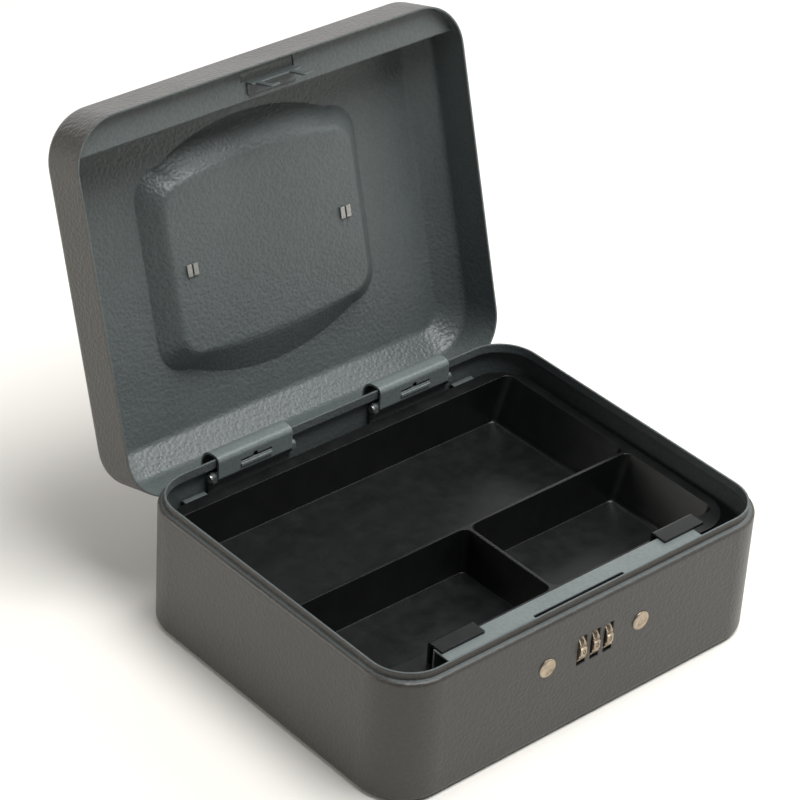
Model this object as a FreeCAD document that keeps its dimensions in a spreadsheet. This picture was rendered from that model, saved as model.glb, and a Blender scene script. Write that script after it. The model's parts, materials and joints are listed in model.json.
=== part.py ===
import FreeCAD, Part
import math
import os

# Steel cash box with a combination lock, a gooseneck-hinged lid and a lift-out coin tray.
# Millimetres. +X right, +Y to the hinges, +Z up, origin at the centre of the base's underside.
# Lid pieces are drawn closed and placed open, turned back about the hinge pins.

Vec = FreeCAD.Vector
doc = FreeCAD.newDocument("cash_box")
dims = doc.addObject("Spreadsheet::Sheet", "Dims")

SIZES = {
    "box_width": 250.0, "box_depth": 202.0, "box_corner": 26.0, "sheet_wall": 1.0,
    "shoulder_height": 72.2, "neck_height": 76.3, "neck_inset": 3.3, "bottom_edge": 4.0,
    "shoulder_edge": 2.2,
    "lid_width": 248.6, "lid_depth": 200.8, "lid_wall_top": 98.8, "lid_top": 109.5,
    "bevel_width": 13.7, "lid_open_angle": 105.9, "hinge_y": 96.9, "hinge_z": 66.0,
    "recess_depth": 10.2, "recess_half_x": 71.0, "recess_half_y": 54.0, "recess_bow": 13.0,
    "recess_corner": 16.0, "recess_run": 12.4, "floor_bow": 1.0, "floor_corner": 11.0,
    "arm_left_x": -78.0, "arm_right_x": 29.5, "arm_length": 48.0, "arm_sheet": 1.2,
    "arm_foot": 9.0, "knuckle_radius": 2.4, "pin_radius": 1.5, "pin_clearance": 0.05,
    "pin_length": 53.7,
    "lock_x": 1.4, "dial_pitch": 8.9, "dial_radius": 10.0, "dial_width": 4.1,
    "dial_y": -93.2, "dial_z": 45.5, "spindle_radius": 2.0, "ring_radius": 6.5,
    "ring_width": 1.2, "ring_offset": 1.8, "sleeve_radius": 4.5,
    "slot_width": 6.0, "slot_height": 17.3,
    "rivet_x": 0.9, "rivet_spacing": 31.4, "rivet_head_radius": 5.2, "rivet_head": 0.8,
    "rivet_shank_radius": 2.5,
    "plate_left": -87.8, "plate_length": 168.0, "plate_rear": -81.0, "plate_top": 71.3,
    "latch_y": -91.4, "latch_sheet": 0.8,
    "channel_low": 78.6, "channel_rear": -81.0, "channel_lip": 9.0,
    "notch_left": -17.0, "notch_length": 34.0,
    "tray_top": 60.0, "tray_floor": 34.4, "tray_half_width": 114.0, "tray_front": -69.5,
    "tray_rear": 86.0, "flange_half_width": 119.6, "flange_front": -80.2,
    "flange_rear": 93.7, "tray_wall": 1.5, "divider_y": -5.2, "divider_x": 1.8,
    "end_slope": 10.5, "tab_width": 27.0, "tab_left_x": -73.8, "tab_right_x": 73.6,
    "bail_half_width": 46.0, "bail_reach": 36.0, "bail_radius": 3.0, "bail_height": 104.2,
    "bail_rest_angle": 15.9, "grip_radius": 4.0, "grip_length": 58.0, "lug_half_span": 50.6,
    "lug_sheet": 1.0, "prong_offset": 1.9,
}
for row, (alias, value) in enumerate(SIZES.items(), start=1):
    dims.set("A%d" % row, alias)
    dims.set("B%d" % row, str(value))
    dims.setAlias("B%d" % row, alias)
doc.recompute()


def size(alias):
    """One driving dimension, read from the sheet."""
    return float(dims.get(alias))


def bind(obj, **expressions):
    """Tie properties to the sheet; a name such as x_pos stands for Placement.Base.x."""
    places = {"x_pos": "Placement.Base.x", "y_pos": "Placement.Base.y", "z_pos": "Placement.Base.z"}
    for key, text in expressions.items():
        obj.setExpression(places.get(key, key), str(text))
    return obj


def box(name, x, y, z, length, width, height):
    """Box from its low corner, each argument a number or an expression of the sheet."""
    obj = doc.addObject("Part::Box", name)
    return bind(obj, Length=length, Width=width, Height=height, x_pos=x, y_pos=y, z_pos=z)


def rod(name, axis, radius, length, x, y, z):
    """Cylinder that starts at a point and runs along +X, +Y or +Z."""
    turn = {"x": (Vec(0, 1, 0), 90), "y": (Vec(1, 0, 0), -90), "z": (Vec(0, 0, 1), 0)}[axis]
    obj = doc.addObject("Part::Cylinder", name)
    obj.Placement = FreeCAD.Placement(Vec(0, 0, 0), FreeCAD.Rotation(*turn))
    return bind(obj, Radius=radius, Height=length, x_pos=x, y_pos=y, z_pos=z)


def fuse(name, *shapes):
    obj = doc.addObject("Part::MultiFuse", name)
    obj.Shapes = list(shapes)
    return obj


def cut(name, base, *tools):
    obj = doc.addObject("Part::Cut", name)
    obj.Base = base
    obj.Tool = tools[0] if len(tools) == 1 else fuse(name + "_tools", *tools)
    return obj


def common(name, one, two):
    obj = doc.addObject("Part::Common", name)
    obj.Base = one
    obj.Tool = two
    return obj


def fillet(name, base, radius, chosen):
    """Round the edges of base that the function chosen accepts."""
    doc.recompute()
    obj = doc.addObject("Part::Fillet", name)
    obj.Base = base
    edges = enumerate(base.Shape.Edges, start=1)
    obj.Edges = [(number, radius, radius) for number, edge in edges if chosen(edge)]
    return obj


def upright(edge):
    """A straight edge parallel to Z."""
    ends = [vertex.Point for vertex in edge.Vertexes]
    return len(ends) == 2 and (ends[0] - ends[1]).cross(Vec(0, 0, 1)).Length < 1e-6


def level(height):
    """Chooser for the edges that lie in the plane Z = height."""
    def chosen(edge):
        low = edge.BoundBox.ZMin
        high = edge.BoundBox.ZMax
        return abs(low - height) < 1e-4 and abs(high - height) < 1e-4
    return chosen


def round_block(name, half_x, half_y, low, high, corner):
    """Upright block with round vertical corners, centred on the Z axis."""
    block = box(name + "_block", "-(%s)" % half_x, "-(%s)" % half_y, low,
                "2 * (%s)" % half_x, "2 * (%s)" % half_y, "(%s) - (%s)" % (high, low))
    return fillet(name, block, corner, upright)


def corner_points(points, radii):
    """Tangent points, middle point and corner of each rounded corner of a closed outline."""
    rounded = []
    count = len(points)
    for i, corner in enumerate(points):
        back = points[i - 1] - corner
        ahead = points[(i + 1) % count] - corner
        back.normalize()
        ahead.normalize()
        half = back.getAngle(ahead) / 2
        reach = radii[i] / math.tan(half)
        inward = back + ahead
        inward.normalize()
        middle = corner + inward * (radii[i] / math.sin(half) - radii[i])
        rounded.append((corner + back * reach, middle, corner + ahead * reach))
    return rounded


def outline(points, radii):
    """Lines and arcs of a closed outline whose corners have the given radii (0 is sharp)."""
    geometry = []
    corners = corner_points(points, radii)
    for i, (start, middle, end) in enumerate(corners):
        if radii[i] > 0:
            geometry.append(Part.Arc(start, middle, end))
        following = corners[(i + 1) % len(corners)][0]
        if (following - end).Length > 1e-6:
            geometry.append(Part.LineSegment(end, following))
    return geometry


def strip_outline(points, radii, thick):
    """Closed outline of a bent strip: a centre line with bend radii, thickened to both sides."""
    sides = []
    for sign in (1, -1):
        side = []
        for i, here in enumerate(points):
            before = here - points[i - 1] if i else points[1] - here
            after = points[i + 1] - here if i + 1 < len(points) else here - points[i - 1]
            before.normalize()
            after.normalize()
            left = Vec(-before.y, before.x, 0) + Vec(-after.y, after.x, 0)
            left.normalize()
            stretch = 1 / math.cos(before.getAngle(after) / 2)
            turn = before.cross(after).z
            bend = 0.0
            if 0 < i < len(points) - 1:
                bend = radii[i] - sign * math.copysign(thick / 2, turn)
            side.append((here + left * (sign * stretch * thick / 2), max(bend, 0.0)))
        sides.append(side)
    loop = sides[0] + sides[1][::-1]
    return outline([point for point, bend in loop], [bend for point, bend in loop])


# Turns that lay a drawing's X and Y along two axes of the box
PLANES = {
    "xy": (FreeCAD.Rotation(), Vec(0, 0, 1)),
    "yz": (FreeCAD.Rotation(Vec(1, 1, 1), 120), Vec(1, 0, 0)),
    "xz": (FreeCAD.Rotation(Vec(1, 0, 0), 90), Vec(0, 1, 0)),
}


def extrude(name, plane, geometry, start, length):
    """Solid drawn in a plane and pulled from start along the plane's axis, both sheet-bound."""
    turn, along = PLANES[plane]
    sketch = doc.addObject("Sketcher::SketchObject", name + "_sketch")
    sketch.Placement = FreeCAD.Placement(Vec(0, 0, 0), turn)
    sketch.addGeometry(geometry)
    offset = {"xy": "z_pos", "yz": "x_pos", "xz": "y_pos"}[plane]
    bind(sketch, **{offset: start})
    obj = doc.addObject("Part::Extrusion", name)
    obj.Base = sketch
    obj.DirMode = "Custom"
    obj.Dir = along
    obj.Solid = True
    obj.TaperAngle = 0
    return bind(obj, LengthFwd=length)


def flat(*pairs):
    return [Vec(a, b, 0) for a, b in pairs]


def ring_of(half_x, half_y, corner, height, centre=(0.0, 0.0)):
    """Rounded rectangle wire at a height."""
    cx, cy = centre
    points = flat((cx + half_x, cy - half_y), (cx + half_x, cy + half_y),
                  (cx - half_x, cy + half_y), (cx - half_x, cy - half_y))
    edges = [piece.toShape() for piece in outline(points, [corner] * 4)]
    wire = Part.Wire(Part.__sortEdges__(edges))
    wire.translate(Vec(0, 0, height))
    return wire


def lofted(name, wires):
    """Closed solid through a stack of similar outlines."""
    obj = doc.addObject("Part::Feature", name)
    obj.Shape = Part.makeLoft(wires, True, True)
    return obj


def arc_steps(radius, start, end, count):
    """Points (inset, rise) of a rounded edge between two directions, in degrees."""
    angles = [start + (end - start) * i / count for i in range(count + 1)]
    return [(radius * (1 - math.cos(math.radians(a))), radius * math.sin(math.radians(a)))
            for a in angles]


def lid_stack(name, skin, low):
    """Lid envelope, drawn in by skin: straight wall, bevelled border, flat top."""
    half_x = size("lid_width") / 2 - skin
    half_y = size("lid_depth") / 2 - skin
    corner = size("box_corner") - skin
    rise = size("lid_top") - size("lid_wall_top")
    run = size("bevel_width")
    slope = math.degrees(math.atan2(rise, run))
    tuck = skin * math.tan(math.radians((90 - slope) / 2))
    wall_top = size("lid_wall_top") - tuck
    top = size("lid_top") - skin
    round_low = 6.0 - skin
    lean = 90 - slope
    profile = [(0.0, low)]
    reach = round_low * math.tan(math.radians(lean / 2))
    for inset, climb in arc_steps(round_low, 0, lean, 5):
        profile.append((inset, wall_top - reach + climb))
    round_high = 4.0 + skin
    back_off = round_high * math.tan(math.radians(slope / 2))
    flat_start = run - skin + tuck
    for step in range(6):
        angle = math.radians(slope * (1 - step / 5))
        inset = flat_start + back_off - round_high * math.sin(angle)
        height = top - round_high * (1 - math.cos(angle))
        profile.append((inset, height))
    wires = [ring_of(half_x - inset, half_y - inset, corner - inset, height)
             for inset, height in profile]
    return lofted(name, wires)


def bulged_ring(half_x, half_y, bulge, corner, height):
    """Outline with straight sides and bowed ends, for the finger recess."""
    right = half_x - corner
    lift = corner * 0.29
    pieces = []
    for sign in (1, -1):
        start = Vec(sign * half_x, -sign * (half_y - corner), height)
        end = Vec(sign * half_x, sign * (half_y - corner), height)
        pieces.append(Part.makeLine(start, end))
        knee = Vec(sign * (half_x - lift), sign * (half_y - lift), height)
        shoulder = Vec(sign * right, sign * half_y, height)
        pieces.append(Part.Arc(end, knee, shoulder).toShape())
        crown = Vec(0, sign * (half_y + bulge), height)
        pieces.append(Part.Arc(shoulder, crown, Vec(-sign * right, sign * half_y, height)).toShape())
        knee_two = Vec(-sign * (half_x - lift), sign * (half_y - lift), height)
        last = Vec(-sign * half_x, sign * (half_y - corner), height)
        pieces.append(Part.Arc(Vec(-sign * right, sign * half_y, height), knee_two, last).toShape())
    return Part.Wire(Part.__sortEdges__(pieces))


def recess_stack(name, skin, top):
    """Dished finger recess: a crisp bowed mouth, straight sides and a rounded foot to its floor."""
    depth = size("recess_depth")
    run = size("recess_run")
    foot = 0.3
    steps = 10
    wires = []
    for i in range(steps + 1):
        part = i / steps
        half_x = size("recess_half_x") - run * part + skin
        half_y = size("recess_half_y") - (run - 1.4) * part + skin
        bulge = size("recess_bow") * (1 - part) + size("floor_bow") * part
        corner = size("recess_corner") * (1 - part) + size("floor_corner") * part + skin
        rounding = max(0.0, part - 1 + foot) ** 2 / (2 * foot)
        drop = depth * (part - rounding) / (1 - foot / 2)
        wires.append(bulged_ring(half_x, half_y, bulge, corner, top - drop))
    return lofted(name, wires)


hinge_point = Vec(0, size("hinge_y"), size("hinge_z"))
lid_turn = FreeCAD.Rotation(Vec(1, 0, 0), -size("lid_open_angle"))
LID_OPEN = FreeCAD.Placement(Vec(0, 0, 0), lid_turn, hinge_point)
nodes = []


def node(label, obj, placement=None):
    """Finish one sub-part: its name and its place."""
    obj.Label = label
    if placement is not None:
        obj.Placement = placement
    nodes.append(obj)
    return obj


# ---- Base: pressed shell with a stepped-in neck -------------------------------------------
corner = size("box_corner")
wall = size("sheet_wall")
inset = size("neck_inset")
shoulder = size("shoulder_height")

outer = round_block("base_outer", "Dims.box_width / 2", "Dims.box_depth / 2", "0",
                    "Dims.shoulder_height", corner)
outer = fillet("base_outer_foot", outer, size("bottom_edge"), level(0.0))
outer = fillet("base_outer_shoulder", outer, size("shoulder_edge"), level(shoulder))
neck = round_block("base_neck", "Dims.box_width / 2 - Dims.neck_inset",
                   "Dims.box_depth / 2 - Dims.neck_inset", "Dims.shoulder_height - 4",
                   "Dims.neck_height", corner - inset)
inner = round_block("base_inner", "Dims.box_width / 2 - Dims.sheet_wall",
                    "Dims.box_depth / 2 - Dims.sheet_wall", "Dims.sheet_wall",
                    "Dims.shoulder_height - Dims.sheet_wall", corner - wall)
inner = fillet("base_inner_foot", inner, size("bottom_edge") - wall, level(wall))
inner = fillet("base_inner_shoulder", inner, size("shoulder_edge") - wall, level(shoulder - wall))
mouth = round_block("base_mouth", "Dims.box_width / 2 - Dims.neck_inset - Dims.sheet_wall",
                    "Dims.box_depth / 2 - Dims.neck_inset - Dims.sheet_wall",
                    "Dims.shoulder_height - 6", "Dims.neck_height + 1", corner - inset - wall)
shell = cut("base_hollowed", fuse("base_solid", outer, neck), inner, mouth)


def dial_x(number):
    return "Dims.lock_x + (%d) * Dims.dial_pitch" % (number - 1)


windows = []
for number in range(3):
    window = box("dial_window_%d" % number, dial_x(number) + " - Dims.slot_width / 2",
                 "-Dims.box_depth / 2 - 2", "Dims.dial_z - Dims.slot_height / 2",
                 "Dims.slot_width", "6", "Dims.slot_height")
    windows.append(window)
rivet_holes = []
for side, name in ((-1, "left"), (1, "right")):
    hole = rod("rivet_hole_" + name, "y", "Dims.rivet_shank_radius + 0.05", "6",
               "Dims.rivet_x + (%d) * Dims.rivet_spacing" % side, "-Dims.box_depth / 2 - 3",
               "Dims.dial_z")
    rivet_holes.append(hole)
node("base_shell", cut("base_cut", shell, *windows, *rivet_holes))

# ---- Lock case: plate inside the neck, riser, tray ledge and the box behind the dials --------
plate = box("plate_top", "Dims.plate_left", "-96.6", "Dims.plate_top - 1",
            "Dims.plate_length", "96.6 + Dims.plate_rear", "1")
riser = box("plate_riser", "Dims.plate_left", "Dims.plate_rear - 1", "57.4",
            "Dims.plate_length", "1", "Dims.plate_top - 57.4")
ledge = box("case_ledge", "Dims.plate_left", "Dims.plate_rear - 1", "57.4",
            "Dims.plate_length", "9.4", "1")
back = box("case_back", "-42", "-81.2", "24", "87", "1", "33.6")
floor = box("case_floor", "-42", "-99.95", "24", "87", "19.7", "1")
ends = [box("case_end_" + name, x, "-99.95", "24", "1", "19.7", "33.6")
        for name, x in (("left", "-42"), ("right", "44"))]
feet = [box("case_foot_" + name, x, "-99.95", "24", "10", "1", "10")
        for name, x in (("left", "-52"), ("right", "45"))]
hangers = []
for name, x, length in (("left", "-87", "44"), ("right", "35", "44")):
    hangers.append(box("plate_shelf_" + name, x, "-99.4", "69.7", length, "4", "1.1"))
    hangers.append(box("plate_hanger_" + name, x, "-99.95", "62", length, "1", "7.9"))
slot_outline = outline(flat((-32.6, -92.4), (26.8, -92.4), (26.8, -90.2), (-32.6, -90.2)),
                       [0.9, 0.9, 0.9, 0.9])
latch_slot = extrude("latch_slot", "xy", slot_outline, "Dims.plate_top - 2", "4")
case = fuse("case_whole", plate, riser, ledge, back, floor, *ends, *feet, *hangers)
node("lock_case", cut("case_cut", case, latch_slot))

# ---- Lock frame: two cheeks on flanges, riveted behind the front wall ----------------------
flange_y = "-Dims.box_depth / 2 + Dims.sheet_wall + 0.02"
flange_left = box("frame_flange_left", "-38", flange_y, "37", "28.2", "1.2", "17")
flange_right = box("frame_flange_right", "18", flange_y, "37", "21", "1.2", "17")
cheeks = [box("frame_cheek_" + name, x, "-98.9", "33", "1.2", "12.9", "27.2")
          for name, x in (("left", "-11"), ("right", "18"))]
bridge = box("frame_bridge", "-11", "-98.9", "33", "30.2", "12.9", "1.2")
stop = box("frame_stop", "37", "-98.9", "53", "1.2", "9.9", "8")
stop_web = box("frame_stop_web", "34", "-99.9", "53", "4.2", "1.2", "8")
frame = fuse("frame_whole", flange_left, flange_right, stop, stop_web, bridge, *cheeks)
spindle_hole = rod("frame_spindle_hole", "x", "Dims.spindle_radius + 0.02", "60", "-30",
                   "Dims.dial_y", "Dims.dial_z")
bolt_way = box("frame_bolt_way", "-20", "Dims.latch_y - 0.4", "56.05", "50", "1.6", "6")
frame_holes = []
for side, name in ((-1, "left"), (1, "right")):
    hole = rod("frame_rivet_hole_" + name, "y", "Dims.rivet_shank_radius + 0.05", "8",
               "Dims.rivet_x + (%d) * Dims.rivet_spacing" % side, "-104", "Dims.dial_z")
    frame_holes.append(hole)
node("lock_frame", cut("frame_cut", frame, spindle_hole, bolt_way, *frame_holes))

for side, name in ((-1, "left"), (1, "right")):
    where = "Dims.rivet_x + (%d) * Dims.rivet_spacing" % side
    shank = rod("rivet_shank_" + name, "y", "Dims.rivet_shank_radius", "3.4", where, "-101.1",
                "Dims.dial_z")
    clinch = rod("rivet_clinch_" + name, "y", "4", "1.1", where, "-98.76", "Dims.dial_z")
    disc = rod("rivet_disc_" + name, "y", "Dims.rivet_head_radius", "Dims.rivet_head", where,
               "-Dims.box_depth / 2 - Dims.rivet_head", "Dims.dial_z")
    front = -size("box_depth") / 2 - size("rivet_head")
    head = fillet("rivet_head_" + name, disc, 0.5,
                  lambda edge, y=front: abs(edge.BoundBox.YMax - y) < 1e-4)
    node("lock_rivet_" + name, fuse("rivet_" + name, head, shank, clinch))

# ---- Combination dials on their spindle ----------------------------------------------------
node("dial_spindle", rod("spindle", "x", "Dims.spindle_radius", "31", "-11.3", "Dims.dial_y",
                         "Dims.dial_z"))
GROOVES = 10
for number in range(3):
    title = ("left", "middle", "right")[number]
    low = dial_x(number) + " - Dims.dial_width / 2"
    high = dial_x(number) + " + Dims.dial_width / 2"
    drum = rod("dial_drum_" + title, "x", "Dims.dial_radius", "Dims.dial_width", low,
               "Dims.dial_y", "Dims.dial_z")
    bore = rod("dial_bore_" + title, "x", "Dims.spindle_radius + Dims.pin_clearance", "8",
               low + " - 1", "Dims.dial_y", "Dims.dial_z")
    grooves = []
    for groove in range(GROOVES):
        angle = math.radians(360.0 / GROOVES * (groove + 0.5))
        reach = size("dial_radius") + 0.55
        grooves.append(rod("dial_groove_%s_%d" % (title, groove), "x", "1.1", "8", low + " - 1",
                           "Dims.dial_y + (%.5f)" % (reach * math.cos(angle)),
                           "Dims.dial_z + (%.5f)" % (reach * math.sin(angle))))
    node("dial_wheel_" + title, cut("dial_" + title, drum, bore, *grooves))
    sleeve = rod("gate_sleeve_" + title, "x", "Dims.sleeve_radius", "4.55", high,
                 "Dims.dial_y", "Dims.dial_z")
    disc = rod("gate_disc_" + title, "x", "Dims.ring_radius", "Dims.ring_width",
               high + " + Dims.ring_offset", "Dims.dial_y", "Dims.dial_z")
    gate_bore = rod("gate_bore_" + title, "x", "Dims.spindle_radius + Dims.pin_clearance", "8",
                    high + " - 1", "Dims.dial_y", "Dims.dial_z")
    gate = box("gate_notch_" + title, high + " + 0.5", "Dims.latch_y - 0.5",
               "Dims.dial_z + 4.3", "4", "1.8", "6")
    node("gate_ring_" + title, cut("gate_" + title, fuse("gate_whole_" + title, sleeve, disc),
                                   gate_bore, gate))

spring_base = box("detent_strip", "-9.4", "-81.75", "38", "27", "0.5", "15")
fingers = []
for number in range(3):
    wave = strip_outline(flat((-81.5, 39.5), (-82.7, 43.0), (-82.7, 48.0), (-81.5, 51.5)),
                         [0, 1.5, 1.5, 0], 0.4)
    fingers.append(extrude("detent_finger_%d" % number, "yz", wave, dial_x(number) + " - 1.3", "2.6"))
node("detent_spring", fuse("detent_whole", spring_base, *fingers))

# ---- Latch bolt: slides left over the lid's hooks when every gate is up ---------------------
bar = box("bolt_bar", "-34", "Dims.latch_y", "56.2", "59", "Dims.latch_sheet", "3.4")
hooks = []
for name, tip in (("left", -5.0), ("right", 16.4)):
    hook = outline(flat((tip, 63.5), (tip + 2.6, 63.5), (tip + 2.6, 59.0), (tip + 4.8, 59.0),
                        (tip + 4.8, 66.4), (tip, 66.4)), [0.4, 0.0, 0.0, 0.0, 0.6, 0.6])
    hooks.append(extrude("bolt_hook_" + name, "xz", hook, "Dims.latch_y",
                         "Dims.latch_sheet"))
fences = []
for number in range(3):
    fences.append(box("bolt_fence_%d" % number,
                      dial_x(number) + " + Dims.dial_width / 2 + 3.3", "Dims.latch_y", "50.2",
                      "1.2", "Dims.latch_sheet", "6.4"))
node("latch_bolt", fuse("bolt_whole", bar, *hooks, *fences))

leaf = strip_outline(flat((25.25, 56.3), (25.25, 59.3), (31.0, 56.3), (36.7, 59.3), (36.7, 56.3)),
                     [0, 0.8, 1.4, 0.8, 0], 0.35)
node("latch_spring", extrude("return_leaf", "xz", leaf, "-90", "2"))

# ---- Cash tray: one moulding, three sloped pockets, a flange and two tabs over the plate -----


def pocket(name, low_x, high_x, low_y, high_y, slope_low, slope_high):
    """Tapered pocket with round corners, from just above the flange to the floor."""
    top = size("tray_top")
    base = size("tray_floor")
    depth = top - base
    profile = [(-0.02, top + 0.5), (0.0, top), (0.86, base + 3.4), (0.92, base + 1.6),
               (0.98, base + 0.5), (1.06, base)]
    wires = []
    for fraction, height in profile:
        left = low_x + slope_low * fraction
        right = high_x - slope_high * fraction
        draft = 1.6 * fraction
        round_in = 4.5 - 1.5 * max(fraction, 0.0)
        wires.append(ring_of((right - left) / 2, (high_y - low_y) / 2 - draft, round_in, height,
                             ((left + right) / 2, (low_y + high_y) / 2)))
    return lofted(name, wires)


half = size("tray_half_width")
slope = size("end_slope")
gap = 0.8
note_pocket = pocket("note_pocket", -half, half, size("divider_y") + gap, size("tray_rear"),
                     slope, slope)
coin_left = pocket("coin_pocket_left", -half, size("divider_x") - gap, size("tray_front"),
                   size("divider_y") - gap, slope, 1.6)
coin_right = pocket("coin_pocket_right", size("divider_x") + gap, half, size("tray_front"),
                    size("divider_y") - gap, 1.6, slope)
skin = size("tray_wall")
body_y = (size("tray_front") + size("tray_rear")) / 2
body_half = (size("tray_rear") - size("tray_front")) / 2
tub_profile = [(0.0, size("tray_top") - 1.0), (0.92, size("tray_floor") + 1.0),
               (1.0, size("tray_floor") - skin)]
tub = lofted("tray_tub", [ring_of(half + skin - slope * f, body_half + skin - 1.6 * f, 6.0 - f,
                                  height, (0.0, body_y)) for f, height in tub_profile])
flange_corner = outline(flat((size("flange_half_width"), size("flange_front")),
                             (size("flange_half_width"), size("flange_rear")),
                             (-size("flange_half_width"), size("flange_rear")),
                             (-size("flange_half_width"), size("flange_front"))), [20.0] * 4)
flange = extrude("tray_flange", "xy", flange_corner, "Dims.tray_top - Dims.tray_wall",
                 "Dims.tray_wall")
tabs = []
for name in ("left", "right"):
    bend = strip_outline(flat((-77.15, size("tray_top") - 1.4), (-77.15, 72.2), (-86.5, 72.2)),
                         [0, 1.2, 0], 1.5)
    tabs.append(extrude("tray_tab_" + name, "yz", bend,
                        "Dims.tab_%s_x - Dims.tab_width / 2" % name, "Dims.tab_width"))
node("cash_tray", cut("tray_cut", fuse("tray_whole", tub, flange, *tabs), note_pocket, coin_left,
                      coin_right))

# Ledges spot-welded on the rear wall carry the tray's rear flange
for name, x in (("left", "-97.8"), ("right", "83.8")):
    shelf = strip_outline(flat((88.6, 57.8), (99.5, 57.8), (99.5, 44.0)), [0, 1.5, 0], 1.0)
    node("tray_rest_" + name, extrude("rest_" + name, "yz", shelf, x, "14"))

# ---- Hinges: bracket and pin on the base, gooseneck arm on the lid --------------------------
hinge_y = size("hinge_y")
hinge_z = size("hinge_z")
lid_inner = size("lid_depth") / 2 - wall


def opened(y, z):
    """A point of the closed lid's side view, carried to the open position."""
    angle = math.radians(size("lid_open_angle"))
    dy = y - hinge_y
    dz = z - hinge_z
    return (hinge_y + dy * math.cos(angle) + dz * math.sin(angle),
            hinge_z - dy * math.sin(angle) + dz * math.cos(angle))


for name in ("left", "right"):
    start = "Dims.arm_%s_x" % name
    ears = []
    for end, shift in (("near", "-3"), ("far", "Dims.arm_length + 0.4")):
        ear = outline(flat((95.0, 68.3), (95.0, 63.2), (98.9, 60.4), (98.9, 52.0), (99.9, 52.0),
                           (99.9, 68.3)), [1.9, 1.0, 0.0, 0.0, 0.0, 0.0])
        ears.append(extrude("hinge_ear_%s_%s" % (name, end), "yz", ear,
                            "%s + %s" % (start, shift), "2.6"))
    leaf_plate = box("hinge_leaf_" + name, start + " - 3", "98.9", "52",
                     "Dims.arm_length + 6", "1", "9.6")
    pin_hole = rod("hinge_ear_hole_" + name, "x", "Dims.pin_radius + 0.02",
                   "Dims.arm_length + 12.2", start + " - 10", "Dims.hinge_y", "Dims.hinge_z")
    node("hinge_bracket_" + name, cut("hinge_bracket_cut_" + name,
                                      fuse("hinge_bracket_whole_" + name, leaf_plate, *ears),
                                      pin_hole))
    pin = rod("hinge_pin_rod_" + name, "x", "Dims.pin_radius", "Dims.pin_length",
              start + " - 3.6", "Dims.hinge_y", "Dims.hinge_z")
    head = rod("hinge_pin_head_" + name, "x", "2.2", "1.2", start + " - 4.3", "Dims.hinge_y",
               "Dims.hinge_z")
    node("hinge_pin_" + name, fuse("hinge_pin_whole_" + name, pin, head))

    thick = size("arm_sheet")
    front_leg = hinge_y - size("knuckle_radius") + thick / 2
    reach = 11.4
    rear_leg = hinge_y + reach
    base_y, base_z = opened(lid_inner, size("shoulder_height"))
    angle = math.radians(size("lid_open_angle"))
    run_y, run_z = math.sin(angle), math.cos(angle)
    up_y, up_z = -math.cos(angle), math.sin(angle)
    lift = thick / 2 + 0.01
    line_y, line_z = base_y + up_y * lift, base_z + up_z * lift
    foot_z = line_z + (rear_leg - line_y) * run_z / run_y
    foot = size("arm_foot")
    end_y, end_z = rear_leg + run_y * foot, foot_z + run_z * foot
    path = flat((front_leg, hinge_z - 0.4), (front_leg, hinge_z + reach),
                (rear_leg, hinge_z + reach), (rear_leg, foot_z), (end_y, end_z))
    strap = extrude("arm_strap_" + name, "yz",
                    strip_outline(path, [0, 2.6, 8.8, 1.6, 0], thick),
                    start, "Dims.arm_length")
    knuckle = rod("arm_knuckle_" + name, "x", "Dims.knuckle_radius", "Dims.arm_length", start,
                  "Dims.hinge_y", "Dims.hinge_z")
    rib = box("arm_tongue_" + name, start + " + 14.5", "93.9", "67.6", "20", "1.2", "1.8")
    bore = rod("arm_bore_" + name, "x", "Dims.pin_radius + Dims.pin_clearance", "60",
               start + " - 5", "Dims.hinge_y", "Dims.hinge_z")
    slit = box("arm_slit_" + name, start + " + 14.5", "92", "70.4", "20", "3.9", "1.3")
    bump = rod("arm_keyhole_" + name, "y", "1.5", "3.9", start + " + 23.8", "92", "72.0")
    node("hinge_arm_" + name, cut("hinge_arm_cut_" + name,
                                  fuse("hinge_arm_whole_" + name, strap, knuckle, rib),
                                  bore, slit, bump))

# ---- Lid: pressed shell with a bevelled border and a dished finger recess -------------------
rim = size("shoulder_height") + 0.4
lid_top = size("lid_top")
lid_outer = lid_stack("lid_outer", 0.0, rim)
lid_hollow = lid_stack("lid_hollow", wall, rim - 1.0)
recess = recess_stack("lid_recess", 0.0, lid_top)
mouth_rings = [bulged_ring(size("recess_half_x") + spread, size("recess_half_y") + spread,
                           size("recess_bow"), size("recess_corner"), height)
               for spread, height in ((0.0, lid_top - 0.001), (0.2, lid_top + 2))]
recess_mouth = lofted("lid_recess_mouth", mouth_rings)
plateau = recess_stack("lid_plateau", wall, lid_top - wall)
hollow_left = cut("lid_hollow_cut", lid_hollow, plateau)
prong_holes = []
for side, name in ((-1, "left"), (1, "right")):
    for way, turned in ((-1, "in"), (1, "out")):
        middle = "(%d) * Dims.lug_half_span + (%d) * Dims.prong_offset" % (side, way)
        prong_holes.append(box("prong_hole_%s_%s" % (name, turned),
                               middle + " - Dims.lug_sheet / 2 - 0.1", "-2.5", "94",
                               "Dims.lug_sheet + 0.2", "5", "12"))
node("lid_shell", cut("lid_cut", lid_outer, hollow_left, recess, recess_mouth, *prong_holes),
     LID_OPEN)

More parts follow.
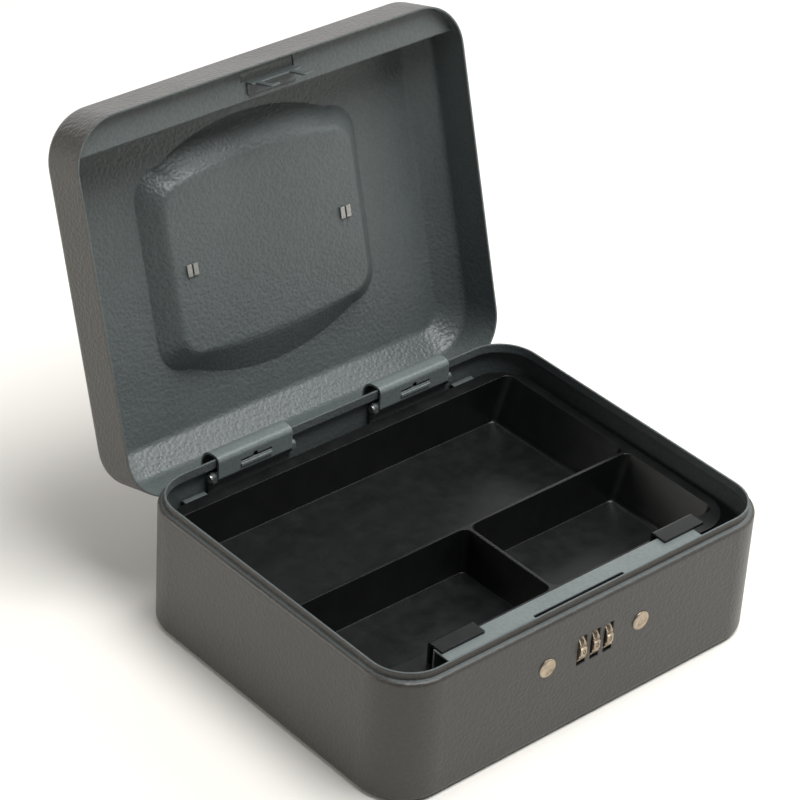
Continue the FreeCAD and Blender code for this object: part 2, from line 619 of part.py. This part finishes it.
# Folded channel across the lid's front, just inside the rim
low = size("channel_low") + 0.5
front = -(size("lid_depth") / 2 - wall) + 0.5
rear = size("channel_rear") - 0.5
channel_path = flat((front, low + 9.0), (front, low), (rear, low), (rear, low + size("channel_lip")))
channel_bar = extrude("channel_bar", "yz", strip_outline(channel_path, [0, 1.4, 1.4, 0], 1.0),
                      "-124", "248")
channel_limit = round_block("channel_limit", "Dims.lid_width / 2 - Dims.sheet_wall - 0.02",
                            "Dims.lid_depth / 2 - Dims.sheet_wall - 0.02", "70", "120",
                            corner - wall)
channel = common("channel_trim", channel_bar, channel_limit)
channel_notch = box("channel_notch", "Dims.notch_left", "-97.6", "Dims.channel_low - 2",
                    "Dims.notch_length", "5.8", "4")
node("lid_channel", cut("channel_cut", channel, channel_notch), LID_OPEN)

# Strike: foot under the channel, short web and two hooks that face right
hook_points = flat((-14, 78.4), (-14, 73.4), (-12, 72.6), (-12, 61.4), (-11, 60.5), (-6.4, 60.5),
                   (-5.5, 61.3), (-5.5, 63.1), (-9, 63.1), (-9, 72.6), (9.4, 72.6), (9.4, 61.4),
                   (10.4, 60.5), (15, 60.5), (15.9, 61.3), (15.9, 63.1), (12.4, 63.1),
                   (12.4, 72.6), (17, 73.4), (17, 78.4))
strike_web = extrude("strike_web", "xz", outline(hook_points, [0.0] * len(hook_points)),
                     "Dims.latch_y", "Dims.latch_sheet")
strike_foot = box("strike_foot", "-14", "Dims.latch_y", "Dims.channel_low - 1.02", "31", "6.8", "1")
node("lid_strike", fuse("strike_whole", strike_web, strike_foot), LID_OPEN)

# ---- Handle: bail on two lugs that are clenched through the recess floor --------------------
bail_z = size("bail_height")
recess_floor = lid_top - size("recess_depth")
for side, name in ((-1, "left"), (1, "right")):
    ear = outline(flat((-3.8, recess_floor + 0.01), (3.8, recess_floor + 0.01),
                       (3.8, bail_z + 3.4), (-3.8, bail_z + 3.4)), [0.0, 0.0, 3.2, 3.2])
    lug = extrude("lug_ear_" + name, "yz", ear, "(%d) * Dims.lug_half_span - 0.5" % side, "1")
    prongs = [box("lug_seat_" + name, "(%d) * Dims.lug_half_span - 3.2" % side, "-3.8",
                  "%.3f" % (recess_floor + 0.01), "6.4", "7.6", "Dims.lug_sheet")]
    for way, turned, reach in ((-1, "in", 3.3), (1, "out", -0.5)):
        centre = "(%d) * Dims.lug_half_span" % side
        prongs.append(box("lug_prong_%s_%s" % (name, turned),
                          "%s + (%d) * Dims.prong_offset - Dims.lug_sheet / 2" % (centre, way),
                          "-2.4", "97", "Dims.lug_sheet", "4.8", "2.5"))
        prongs.append(box("lug_clench_%s_%s" % (name, turned), "%s - (%s)" % (centre, reach),
                          "-3.1", "96.9", "2.8", "6.2", "1.3"))
    eye = rod("lug_eye_" + name, "x", "1.85", "4", "(%d) * Dims.lug_half_span - 2" % side, "0",
              "Dims.bail_height")
    node("handle_lug_" + name, cut("lug_cut_" + name, fuse("lug_whole_" + name, lug, *prongs), eye),
         LID_OPEN)

rest = math.radians(size("bail_rest_angle"))


def hung(reach):
    """Point of the bail at a reach from its pivot, hanging plumb in the open lid."""
    return Vec(0, reach * math.cos(rest), bail_z + reach * math.sin(rest))


bend = 9.0
side_x = size("bail_half_width")
far = size("bail_reach")
knee = bend * (1 - math.sqrt(0.5))


def at(x, reach):
    return Vec(x, 0, 0) + hung(reach)


bail_path = Part.Wire([
    Part.makeLine(at(-side_x, 0), at(-side_x, far - bend)),
    Part.Arc(at(-side_x, far - bend), at(-side_x + knee, far - knee), at(-side_x + bend, far)).toShape(),
    Part.makeLine(at(-side_x + bend, far), at(side_x - bend, far)),
    Part.Arc(at(side_x - bend, far), at(side_x - knee, far - knee), at(side_x, far - bend)).toShape(),
    Part.makeLine(at(side_x, far - bend), at(side_x, 0)),
])
heading = hung(1) - hung(0)
profile = Part.Wire([Part.makeCircle(size("bail_radius"), at(-side_x, 0), heading)])
bail_bow = doc.addObject("Part::Feature", "bail_bow")
bail_bow.Shape = bail_path.makePipeShell([profile], True, False)
stubs = []
for side, name in ((-1, "left"), (1, "right")):
    start = -size("lug_half_span") - 1.6 if side < 0 else side_x
    length = size("lug_half_span") + 1.6 - side_x
    stubs.append(rod("bail_stub_" + name, "x", "1.8", "%.4f" % length, "%.4f" % start, "0",
                     "Dims.bail_height"))
    ball = doc.addObject("Part::Sphere", "bail_foot_" + name)
    stubs.append(bind(ball, Radius="Dims.bail_radius", x_pos="%.4f" % (side * side_x), y_pos="0",
                      z_pos="Dims.bail_height"))
node("handle_bail", fuse("bail_whole", bail_bow, *stubs), LID_OPEN)

grip_axis = hung(far)
grip_outer = rod("grip_outer", "x", "Dims.grip_radius", "Dims.grip_length", "-Dims.grip_length / 2",
                 "%.5f" % grip_axis.y, "%.5f" % grip_axis.z)
grip_bore = rod("grip_bore", "x", "Dims.bail_radius + 0.01", "Dims.grip_length + 4",
                "-Dims.grip_length / 2 - 2", "%.5f" % grip_axis.y, "%.5f" % grip_axis.z)
node("handle_grip", cut("grip_cut", grip_outer, grip_bore), LID_OPEN)

# ---- Check and export ----------------------------------------------------------------------
doc.recompute()
for obj in doc.Objects:
    if "Invalid" in obj.State or "Error" in obj.State:
        raise RuntimeError("%s failed: %s" % (obj.Name, obj.State))
os.makedirs("parts", exist_ok=True)
for obj in nodes:
    shape = obj.Shape
    if shape.isNull() or not shape.isValid() or not shape.Solids:
        raise RuntimeError("%s has no valid solid" % obj.Label)
    bounds = shape.BoundBox
    print("%-20s solids %d volume %9.1f x %.1f..%.1f y %.1f..%.1f z %.1f..%.1f" % (
        obj.Label, len(shape.Solids), shape.Volume, bounds.XMin, bounds.XMax,
        bounds.YMin, bounds.YMax, bounds.ZMin, bounds.ZMax))
    shape.exportStep("parts/%s.step" % obj.Label)
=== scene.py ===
import json
import math

import bmesh
import bpy
from mathutils import Matrix, Vector


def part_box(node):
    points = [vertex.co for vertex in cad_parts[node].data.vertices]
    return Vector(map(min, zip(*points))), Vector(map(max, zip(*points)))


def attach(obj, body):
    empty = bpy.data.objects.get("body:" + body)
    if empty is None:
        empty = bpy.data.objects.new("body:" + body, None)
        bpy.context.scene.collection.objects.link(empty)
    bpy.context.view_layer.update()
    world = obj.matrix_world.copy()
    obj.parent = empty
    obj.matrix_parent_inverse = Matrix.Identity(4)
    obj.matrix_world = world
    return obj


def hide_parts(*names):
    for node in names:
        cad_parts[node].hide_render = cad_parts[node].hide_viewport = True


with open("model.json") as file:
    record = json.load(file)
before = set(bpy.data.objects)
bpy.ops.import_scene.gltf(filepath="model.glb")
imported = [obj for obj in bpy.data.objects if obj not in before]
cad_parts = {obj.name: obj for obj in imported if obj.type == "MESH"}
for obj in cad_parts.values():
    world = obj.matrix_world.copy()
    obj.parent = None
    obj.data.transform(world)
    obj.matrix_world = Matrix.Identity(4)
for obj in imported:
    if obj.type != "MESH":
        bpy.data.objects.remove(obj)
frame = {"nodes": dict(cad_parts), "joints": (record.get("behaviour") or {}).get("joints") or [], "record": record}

# Looks of a steel cash box: enamels, moulded plastic, plated parts, figured dials, turned rivets and
# a ribbed grip, with a plain studio round them. Metres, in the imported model's own frame.

scene = bpy.context.scene
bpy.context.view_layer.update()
MM = 0.001

# ---------------------------------------------------------------- camera
AZIMUTH = -42.86
ELEVATION = 33.42
ROLL = 3.68
DISTANCE = 1.63072
SHIFT_RIGHT = -0.02532
SHIFT_UP = 0.1115
FOCAL = 143.06


def make_camera():
    """Camera turned round the box, with a slight roll, framed by moving it sideways and up."""
    azimuth = math.radians(AZIMUTH)
    elevation = math.radians(ELEVATION)
    roll = math.radians(ROLL)
    flat = math.cos(elevation)
    back = Vector((math.sin(azimuth) * flat, -math.cos(azimuth) * flat, math.sin(elevation)))
    level = Vector((math.cos(azimuth), math.sin(azimuth), 0.0))
    upright = back.cross(level)
    right = level * math.cos(roll) + upright * math.sin(roll)
    up = upright * math.cos(roll) - level * math.sin(roll)
    place = back * DISTANCE + right * SHIFT_RIGHT + up * SHIFT_UP
    data = bpy.data.cameras.new("camera")
    data.lens = FOCAL
    data.sensor_width = 36.0
    data.clip_start = 0.05
    data.clip_end = 20.0
    camera = bpy.data.objects.new("camera", data)
    camera.matrix_world = Matrix.Translation(place) @ Matrix((right, up, back)).transposed().to_4x4()
    scene.collection.objects.link(camera)
    scene.camera = camera


# ---------------------------------------------------------------- materials
class Finish:
    """One material, whose nodes are added a step at a time."""

    def __init__(self, name, **sockets):
        self.material = bpy.data.materials.new(name)
        self.material.use_nodes = True
        self.tree = self.material.node_tree
        self.shader = self.tree.nodes["Principled BSDF"]
        for socket, value in sockets.items():
            self.shader.inputs[socket.replace("_", " ")].default_value = value
        coordinates = self.add("ShaderNodeTexCoord")
        self.place = coordinates.outputs["Object"]
        self.facing = coordinates.outputs["Normal"]

    def add(self, kind, settings=None, **sockets):
        """A node, with its own settings and its sockets given as values or as links."""
        node = self.tree.nodes.new(kind)
        for key, value in (settings or {}).items():
            setattr(node, key, value)
        for key, value in sockets.items():
            self.feed(node.inputs[key.replace("_", " ")], value)
        return node

    def feed(self, socket, value):
        if isinstance(value, bpy.types.NodeSocket):
            self.tree.links.new(value, socket)
        else:
            socket.default_value = value

    def noise(self, cell, detail=2.0, rough=0.5, place=None, stretch=None):
        """Cloudy value from 0 to 1 whose patches are about cell metres across."""
        place = place or self.place
        if stretch:
            place = self.add("ShaderNodeMapping", Vector=place, Scale=stretch).outputs["Vector"]
        node = self.add("ShaderNodeTexNoise", Vector=place, Scale=1 / cell, Detail=detail,
                        Roughness=rough)
        return node.outputs["Fac"]

    def cells(self, cell, smooth, place=None):
        """Distance to the nearest of a scatter of points, about cell metres apart."""
        node = self.add("ShaderNodeTexVoronoi", {"feature": "SMOOTH_F1"}, Vector=place or self.place,
                        Scale=1 / cell, Smoothness=smooth)
        return node.outputs["Distance"]

    def warped(self, cell, amount):
        """Object coordinates pushed about by noise."""
        push = self.add("ShaderNodeTexNoise", Vector=self.place, Scale=1 / cell, Detail=1.0)
        centred = self.add("ShaderNodeVectorMath", {"operation": "SUBTRACT"})
        self.feed(centred.inputs[0], push.outputs["Color"])
        centred.inputs[1].default_value = (0.5, 0.5, 0.5)
        moved = self.add("ShaderNodeVectorMath", {"operation": "MULTIPLY_ADD"})
        self.feed(moved.inputs[0], centred.outputs["Vector"])
        moved.inputs[1].default_value = (amount, amount, amount)
        self.feed(moved.inputs[2], self.place)
        return moved.outputs["Vector"]

    def remap(self, value, low, high, to_low=0.0, to_high=1.0):
        node = self.add("ShaderNodeMapRange", Value=value)
        for socket, number in zip(("From Min", "From Max", "To Min", "To Max"),
                                  (low, high, to_low, to_high)):
            node.inputs[socket].default_value = number
        return node.outputs["Result"]

    def math(self, operation, one, two):
        node = self.add("ShaderNodeMath", {"operation": operation})
        self.feed(node.inputs[0], one)
        self.feed(node.inputs[1], two)
        return node.outputs["Value"]

    def blend(self, share, one, two):
        """Colour between one and two."""
        node = self.add("ShaderNodeMix", {"data_type": "RGBA"})
        self.feed(node.inputs["Factor"], share)
        self.feed(node.inputs[6], one)
        self.feed(node.inputs[7], two)
        return node.outputs[2]

    def edges(self, radius):
        """Normal with softened edges, and a mask that is 1 on them."""
        soft = self.add("ShaderNodeBevel", {"samples": 4}, Radius=radius).outputs["Normal"]
        sharp = self.add("ShaderNodeNewGeometry").outputs["Normal"]
        agree = self.add("ShaderNodeVectorMath", {"operation": "DOT_PRODUCT"})
        self.feed(agree.inputs[0], soft)
        self.feed(agree.inputs[1], sharp)
        return soft, self.remap(agree.outputs["Value"], 0.99, 0.86)

    def outside(self, heart):
        """1 on side faces that point away from a shell's heart, 0 on its inside and on its rims."""
        away = self.add("ShaderNodeVectorMath", {"operation": "SUBTRACT"})
        self.feed(away.inputs[0], self.place)
        away.inputs[1].default_value = heart
        turned_out = self.add("ShaderNodeVectorMath", {"operation": "DOT_PRODUCT"})
        self.feed(turned_out.inputs[0], self.facing)
        self.feed(turned_out.inputs[1], away.outputs["Vector"])
        return self.remap(turned_out.outputs["Value"], 50 * MM, 75 * MM)

    def bump(self, height, distance, strength, normal=None):
        node = self.add("ShaderNodeBump", Height=height, Distance=distance, Strength=strength)
        if normal is not None:
            self.feed(node.inputs["Normal"], normal)
        return node.outputs["Normal"]

    def finish(self, colour=None, rough=None, normal=None):
        for socket, value in (("Base Color", colour), ("Roughness", rough), ("Normal", normal)):
            if value is not None:
                self.feed(self.shader.inputs[socket], value)
        return self.material


def grey(level, tint=(1.0, 1.0, 1.0)):
    return (level * tint[0], level * tint[1], level * tint[2], 1.0)


def enamel(name, level, wrinkle, rough, heart=None, shaded_outer=0.0):
    """Stoved enamel with a fine hammered skin, cloudy in tone, with a painted highlight along its edges.

    On a shell, heart is a point inside it, and the second level sets a darker, warmer copy of the enamel on its
    outside faces: painted shade for the weaker, warmer light falling there.
    """
    look = Finish(name)
    soft, edge = look.edges(0.9 * MM)
    skin = look.cells(1.9 * MM, 0.7, look.warped(2.6 * MM, 2.0 * MM))
    grain = look.noise(0.45 * MM, 2.0, 0.6)
    cloud = look.noise(60 * MM, 3.0, 0.55)
    share = look.remap(cloud, 0.3, 0.7)
    flecks = look.math("MULTIPLY", look.remap(skin, 0.25, 0.6), 0.16)
    # Painted highlight: the edges are lightened, in patches, to stand in for light catching them.
    edge_highlight = look.math("MULTIPLY", edge, look.remap(look.noise(6 * MM, 3.0, 0.7), 0.35, 0.7, 0.1, 0.6))

    def paint(depth, tint):
        tone = look.blend(share, grey(depth * 0.9, tint), grey(depth * 1.1, tint))
        tone = look.blend(flecks, tone, grey(depth * 1.75, tint))
        return look.blend(edge_highlight, tone, grey(depth * 2.1, tint))

    tone = paint(level, COOL)
    if heart is not None:
        # Painted shade: the outside faces of a shell take a darker, warmer copy of the enamel, for the weaker,
        # warmer light falling on them.
        tone = look.blend(look.outside(heart), tone, paint(shaded_outer, WARM_SHADE))
    height = look.math("ADD", skin, look.math("MULTIPLY", grain, 0.22))
    gloss = look.remap(cloud, 0.3, 0.7, rough - 0.04, rough + 0.05)
    return look.finish(tone, gloss, look.bump(height, 0.34 * MM, wrinkle, soft))


def moulding(name, level, tint, rough, grain_depth):
    """Moulded plastic: fine sparked grain, faint flow clouds, and a painted highlight along the edges."""
    look = Finish(name)
    soft, edge = look.edges(0.6 * MM)
    grain = look.noise(0.35 * MM, 3.0, 0.65)
    cloud = look.noise(35 * MM, 2.0, 0.5)
    tone = look.blend(look.remap(cloud, 0.3, 0.7), grey(level * 0.8, tint), grey(level * 1.25, tint))
    # Painted highlight: the edges are lightened to stand in for light catching them.
    tone = look.blend(look.math("MULTIPLY", edge, 0.55), tone, grey(level * 3.2, tint))
    gloss = look.remap(look.noise(9 * MM, 3.0, 0.6), 0.3, 0.7, rough - 0.05, rough + 0.07)
    return look.finish(tone, gloss, look.bump(grain, 0.05 * MM, grain_depth, soft))


def plated(name, colour, rough, stretch, spots):
    """Plated or machined metal: drawn lines along one direction, dull spots, and a painted highlight along the
    edges.
    """
    look = Finish(name, Metallic=1.0)
    soft, edge = look.edges(0.35 * MM)
    lines = look.noise(0.5 * MM, 2.0, 0.6, stretch=stretch)
    blotch = look.noise(3.5 * MM, 3.0, 0.6)
    dull = tuple(channel * spots for channel in colour) + (1.0,)
    tone = look.blend(look.remap(blotch, 0.4, 0.7), tuple(colour) + (1.0,), dull)
    # Painted highlight: the edges are brightened to stand in for light catching them.
    tone = look.blend(look.math("MULTIPLY", edge, 0.6), tone,
                      tuple(min(1.0, channel * 1.35) for channel in colour) + (1.0,))
    gloss = look.math("ADD", look.remap(lines, 0.3, 0.7, rough - 0.06, rough + 0.08),
                      look.remap(blotch, 0.4, 0.75, 0.0, 0.12))
    return look.finish(tone, gloss, look.bump(lines, 0.03 * MM, 0.35, soft))


def figure_ink():
    """Black filling of the dial figures, worn thin in places."""
    look = Finish("figure_ink")
    wear = look.remap(look.noise(0.4 * MM, 2.0, 0.6), 0.55, 0.75)
    tone = look.blend(wear, (0.012, 0.011, 0.010, 1.0), (0.09, 0.08, 0.06, 1.0))
    return look.finish(tone, look.remap(wear, 0.0, 1.0, 0.6, 0.4),
                       look.bump(wear, 0.02 * MM, 0.3))


COOL = (0.86, 1.0, 1.0)
# Tint of the painted shade on the shells' outside faces.
WARM_SHADE = (1.06, 1.0, 0.88)


def middle_of(node):
    low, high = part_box(node)
    return (low + high) / 2


def lid_heart():
    """A point far below the lid's top, turned with the lid from shut to open."""
    hinge = next(joint for joint in frame["joints"] if joint["name"] == "lid_hinge")
    opening = Matrix.Rotation(-math.radians(hinge["range_deg"][1]), 3, "X")
    return middle_of("lid_shell") + opening @ Vector((0, 0, -300 * MM))


PAINT = 0.103
# Level of the painted shade on the shells' outside faces; inside, the same enamel is PAINT.
SHADED_OUTER_PAINT = 0.041
FINISHES = {
    "grey_paint": enamel("grey_enamel", PAINT, wrinkle=0.5, rough=0.38),
    # Painted light: the lock plate has the same grey enamel, set lighter because it faces up to the lamps.
    "bare_plate": enamel("lit_plate_enamel", 0.165, wrinkle=0.16, rough=0.36),
    "black_plastic": moulding("black_moulding", 0.005, (0.92, 1.08, 1.0), 0.34, 0.25),
    "plated_steel": plated("zinc_plating", (0.50, 0.50, 0.48), 0.36, (1.0, 12.0, 12.0), 0.7),
    "nickel": plated("warm_nickel", (0.46, 0.38, 0.285), 0.30, (1.0, 1.0, 8.0), 0.55),
    "gate_brass": plated("machined_brass", (0.62, 0.47, 0.22), 0.30, (10.0, 1.0, 1.0), 0.7),
    "chrome_wire": plated("bright_chrome", (0.72, 0.72, 0.72), 0.13, (1.0, 6.0, 6.0), 0.85),
}
# Painted light: the hinge arms have the same grey enamel, set lighter because their tops face the overhead lamp.
LIT_STRAP = enamel("lit_strap_enamel", 0.160, wrinkle=0.20, rough=0.36)
OWN = {
    "base_shell": enamel("base_enamel", PAINT, wrinkle=0.5, rough=0.38,
                         heart=middle_of("base_shell"), shaded_outer=SHADED_OUTER_PAINT),
    "lid_shell": enamel("lid_enamel", PAINT, wrinkle=0.8, rough=0.38,
                        heart=lid_heart(), shaded_outer=SHADED_OUTER_PAINT),
    "hinge_arm_left": LIT_STRAP,
    "hinge_arm_right": LIT_STRAP,
}


def dress_nodes():
    """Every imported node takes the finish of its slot, unless it has a finish of its own."""
    for part in frame["record"]["subparts"]:
        name = part["node"]
        mesh = frame["nodes"][name].data
        mesh.materials.clear()
        mesh.materials.append(OWN.get(name) or FINISHES[part["material_slot"]])


# ---------------------------------------------------------------- detail pieces
def add_piece(name, mesh, slot, body, replaced=None, material=None):
    """Put a finished mesh in the scene, give it its look and say what it rides on."""
    mesh.materials.append(material or FINISHES[slot])
    piece = bpy.data.objects.new(name, mesh)
    scene.collection.objects.link(piece)
    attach(piece, body)
    if replaced:
        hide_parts(replaced)
    return piece


def turned(name, profile, centre, axis, segments, shape=None):
    """Closed mesh turned about X or Y through centre from a profile of (along, radius) points.

    shape(angle, along, radius) may vary the radius round the turn. Points of zero radius close it;
    a profile that starts and ends at the same point makes a ring.
    """
    ring = profile[0] == profile[-1]
    stations = profile[:-1] if ring else profile
    vertices = []
    rows = []
    for along, radius in stations:
        row = []
        for step in range(segments if radius > 0 else 1):
            angle = 2 * math.pi * step / segments
            reach = shape(angle, along, radius) if shape and radius > 0 else radius
            across = -reach * math.cos(angle)
            rise = reach * math.sin(angle)
            offset = (along, across, rise) if axis == "x" else (-across, along, rise)
            row.append(len(vertices))
            vertices.append(centre + Vector(offset))
        rows.append(row)
    pairs = list(zip(rows, rows[1:] + rows[:1])) if ring else list(zip(rows, rows[1:]))
    faces = []
    for low, high in pairs:
        for step in range(segments):
            after = (step + 1) % segments
            corners = [low[step % len(low)], low[after % len(low)],
                       high[after % len(high)], high[step % len(high)]]
            faces.append(list(dict.fromkeys(corners)))
    mesh = bpy.data.meshes.new(name)
    mesh.from_pydata(vertices, [], faces)
    mesh.validate()
    tidy_normals(mesh)
    return mesh


def tidy_normals(mesh, angle=32.0):
    """Outward normals, smooth but for edges sharper than the angle."""
    work = bmesh.new()
    work.from_mesh(mesh)
    bmesh.ops.recalc_face_normals(work, faces=work.faces)
    work.to_mesh(mesh)
    work.free()
    mesh.shade_smooth()
    mesh.set_sharp_from_angle(angle=math.radians(angle))


FIGURES = 10
FACET = 2 * math.pi / FIGURES
FACE_LIFT = 0.22 * MM
GROOVE_DEPTH = 0.75 * MM
GROOVE_HALF = 0.95 * MM
TOOTH_DEPTH = 0.16 * MM
PLAIN_HALF = 1.35 * MM


def dial_radius(angle, along, radius):
    """Ten flat faces with a groove between neighbours and fine teeth along both rims."""
    local = (angle + FACET / 2) % FACET - FACET / 2
    flat = radius * math.cos(FACET / 2) / math.cos(local) + FACE_LIFT
    to_groove = (FACET / 2 - abs(local)) * radius
    groove = GROOVE_DEPTH * max(0.0, 1 - (to_groove / GROOVE_HALF) ** 2)
    reach = min(flat, radius) - groove
    if abs(along) > PLAIN_HALF:
        reach -= TOOTH_DEPTH * (0.5 + 0.5 * math.cos(8 * FIGURES * angle))
    return reach


def make_dial(side):
    """Figured wheel in place of the plain drum."""
    node = "dial_wheel_" + side
    low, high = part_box(node)
    centre = (low + high) / 2
    half = (high.x - low.x) / 2
    radius = (high.z - low.z) / 2
    bore = 2.05 * MM
    rim = 0.28 * MM
    profile = [(-half, bore), (-half, radius - rim), (-half + rim, radius), (-1.4 * MM, radius),
               (-1.3 * MM, radius), (1.3 * MM, radius), (1.4 * MM, radius), (half - rim, radius),
               (half, radius - rim), (half, bore), (-half, bore)]
    drum = turned("dial_" + side, profile, centre, "x", FIGURES * 32, dial_radius)
    body = "dial_" + side
    add_piece("figured_dial_" + side, drum, "nickel", body, node)
    add_piece("dial_figures_" + side, figure_mesh(side, centre, radius), "black_plastic", body,
              material=INK)


def figure_mesh(side, centre, radius):
    """The figures 0 to 9, one on each flat face, as thin filled shapes."""
    vertices = []
    faces = []
    out = radius * math.cos(FACET / 2) + FACE_LIFT
    for figure in range(FIGURES):
        text = bpy.data.curves.new("figure", "FONT")
        text.body = str(figure)
        text.size = 3.7 * MM
        text.extrude = 0.03 * MM
        text.offset = 0.05 * MM
        text.resolution_u = 3
        holder = bpy.data.objects.new("figure", text)
        shape = bpy.data.meshes.new_from_object(holder)
        points = [vertex.co.copy() for vertex in shape.vertices]
        middle = Vector([(min(p[k] for p in points) + max(p[k] for p in points)) / 2 for k in range(3)])
        face_up = Matrix.Rotation(math.radians(90), 3, "X")
        round_dial = Matrix.Rotation(figure * FACET, 3, "X")
        start = len(vertices)
        for point in points:
            lifted = face_up @ (point - middle) + Vector((0, -out, 0))
            vertices.append(centre + round_dial @ lifted)
        faces.extend([[start + index for index in face.vertices] for face in shape.polygons])
        bpy.data.objects.remove(holder)
    mesh = bpy.data.meshes.new("dial_figures_" + side)
    mesh.from_pydata(vertices, [], faces)
    mesh.validate()
    return mesh


def make_rivet(side):
    """Turned rivet with a rolled rim round a shallow dish, clinched behind the wall."""
    node = "lock_rivet_" + side
    low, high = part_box(node)
    middle = Vector(((low.x + high.x) / 2, 0.0, (low.z + high.z) / 2))
    front = low.y
    rear = high.y
    radius = (high.x - low.x) / 2
    wall = front + 0.8 * MM
    profile = [(front + 0.28 * MM, 0.0), (front + 0.25 * MM, 0.55 * radius),
               (front + 0.1 * MM, 0.68 * radius), (front, 0.78 * radius),
               (front + 0.03 * MM, 0.88 * radius), (front + 0.18 * MM, 0.96 * radius),
               (front + 0.42 * MM, radius), (wall, radius), (wall, 2.5 * MM),
               (rear - 1.1 * MM, 2.5 * MM), (rear - 1.0 * MM, 3.6 * MM), (rear - 0.6 * MM, 4.0 * MM),
               (rear - 0.2 * MM, 3.6 * MM), (rear, 2.6 * MM), (rear, 0.0)]
    mesh = turned("rivet_" + side, profile, middle, "y", 72)
    add_piece("turned_rivet_" + side, mesh, "nickel", "base", node)


def make_grip():
    """Moulded grip on the handle: rolled collars and shallow finger ribs round its bore."""
    low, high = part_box("handle_grip")
    centre = (low + high) / 2
    half = (high.x - low.x) / 2
    radius = (high.y - low.y) / 2
    bore = 3.01 * MM
    profile = [(-half, bore), (-half, radius - 0.5 * MM), (-half + 0.5 * MM, radius),
               (-half + 3 * MM, radius), (-half + 3.6 * MM, radius - 0.45 * MM)]
    ribs = 11
    run = half - 4.2 * MM
    for step in range(ribs * 8 + 1):
        share = step / (ribs * 8)
        wave = 0.5 + 0.5 * math.cos(2 * math.pi * ribs * share)
        profile.append((-run + 2 * run * share, radius - (0.45 - 0.4 * (1 - wave)) * MM))
    profile += [(half - 3.6 * MM, radius - 0.45 * MM), (half - 3 * MM, radius),
                (half - 0.5 * MM, radius), (half, radius - 0.5 * MM), (half, bore), (-half, bore)]
    mesh = turned("grip", profile, centre, "x", 48)
    add_piece("ribbed_grip", mesh, "black_plastic", "handle", "handle_grip")


# ---------------------------------------------------------------- stage and light
def make_stage():
    """Pale, slightly warm floor."""
    mesh = bpy.data.meshes.new("floor")
    half = 6.0
    mesh.from_pydata([(-half, -half, 0), (half, -half, 0), (half, half, 0), (-half, half, 0)], [],
                     [(0, 1, 2, 3)])
    floor = bpy.data.objects.new("floor", mesh)
    scene.collection.objects.link(floor)
    look = Finish("floor", Roughness=0.9)
    cloud = look.noise(0.5, 2.0, 0.5)
    warm = (1.0, 0.975, 0.925)
    mesh.materials.append(look.finish(look.blend(cloud, grey(0.88, warm), grey(0.91, warm))))


def area_light(name, place, target, width, height, power, colour=(1.0, 1.0, 1.0)):
    data = bpy.data.lights.new(name, "AREA")
    data.shape = "RECTANGLE"
    data.size = width
    data.size_y = height
    data.energy = power
    data.color = colour
    light = bpy.data.objects.new(name, data)
    light.location = place
    light.rotation_euler = (Vector(target) - Vector(place)).to_track_quat("-Z", "Y").to_euler()
    scene.collection.objects.link(light)


def make_light():
    """Large soft light overhead, a wide backdrop, and weaker soft boxes round the sides."""
    middle = (0.0, 0.05, 0.08)
    area_light("overhead", (0.2, -0.4, 1.7), middle, 1.0, 1.0, 33.0)
    area_light("backdrop", (0.9, 2.1, 0.8), middle, 3.0, 1.5, 22.0)
    area_light("right_high", (1.3, 0.0, 1.1), middle, 0.9, 0.9, 9.0)
    area_light("left_box", (-1.3, 0.9, 0.5), middle, 0.8, 0.8, 8.5, (1.0, 0.97, 0.92))
    area_light("right_box", (1.3, -0.9, 0.4), middle, 0.8, 0.8, 2.4, (1.0, 0.97, 0.92))
    world = bpy.data.worlds.new("studio")
    world.use_nodes = True
    background = world.node_tree.nodes["Background"]
    background.inputs["Color"].default_value = (1.0, 1.0, 1.0, 1.0)
    background.inputs["Strength"].default_value = 0.12
    scene.world = world
    scene.view_settings.view_transform = "Standard"


make_camera()
dress_nodes()
INK = figure_ink()
for side in ("left", "middle", "right"):
    make_dial(side)
for side in ("left", "right"):
    make_rivet(side)
make_grip()
make_stage()
make_light()
